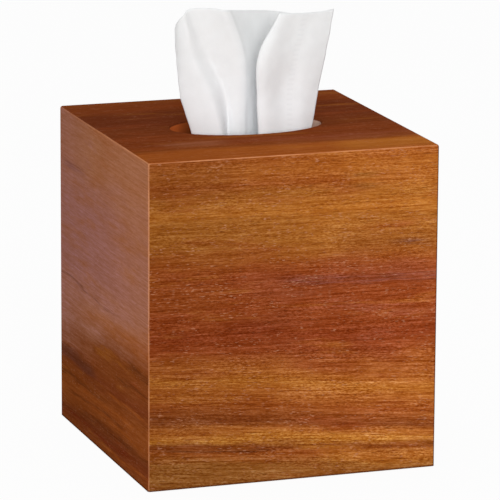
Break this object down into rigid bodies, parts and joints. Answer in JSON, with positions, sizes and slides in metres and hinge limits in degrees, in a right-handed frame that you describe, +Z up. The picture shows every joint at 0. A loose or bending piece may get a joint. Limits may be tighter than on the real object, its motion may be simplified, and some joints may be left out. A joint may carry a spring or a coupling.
{
  "type": "tissue box cover",
  "caption": "Square mitred wooden cover that slips over a cube tissue carton, with a long oval opening in its top and one tissue standing through it.",
  "frame": {"origin": "on the table, under the middle of the cover", "axes": "+Z up, -Y out of the front board, +X to the right as seen from the front, along the oval opening"},
  "size_m": [0.1334, 0.1334, 0.2005],
  "materials": {
    "acacia": "satin",
    "spline_wood": "matte",
    "felt": "matte",
    "paperboard": "matte",
    "clear_film": "gloss",
    "stacked_tissue": "matte",
    "tissue": "matte"
  },
  "bodies": {
    "refill": {"carton": "paperboard", "slit_film": "clear_film", "tissue_stack": "stacked_tissue"},
    "cover": {"top_panel": "acacia", "front_panel": "acacia", "back_panel": "acacia", "left_panel": "acacia", "right_panel": "acacia", "corner_spline_front_left": "spline_wood", "corner_spline_front_right": "spline_wood", "corner_spline_back_left": "spline_wood", "corner_spline_back_right": "spline_wood", "top_spline_front": "spline_wood", "top_spline_right": "spline_wood", "top_spline_back": "spline_wood", "top_spline_left": "spline_wood", "foot_pad_front_left": "felt", "foot_pad_front_right": "felt", "foot_pad_back_left": "felt", "foot_pad_back_right": "felt"},
    "tissue": {"pop_up_tissue": "tissue"}
  },
  "joints": [
    {"name": "cover_lift", "type": "slide", "parent": "refill", "child": "cover", "axis": [0, 0, 1], "range_m": [0, 0.21], "deforming": ["pop_up_tissue"]},
    {"name": "tissue_pull", "type": "slide", "parent": "refill", "child": "tissue", "axis": [0, 0, 1], "range_m": [0, 0.1], "deforming": ["pop_up_tissue"]}
  ]
}
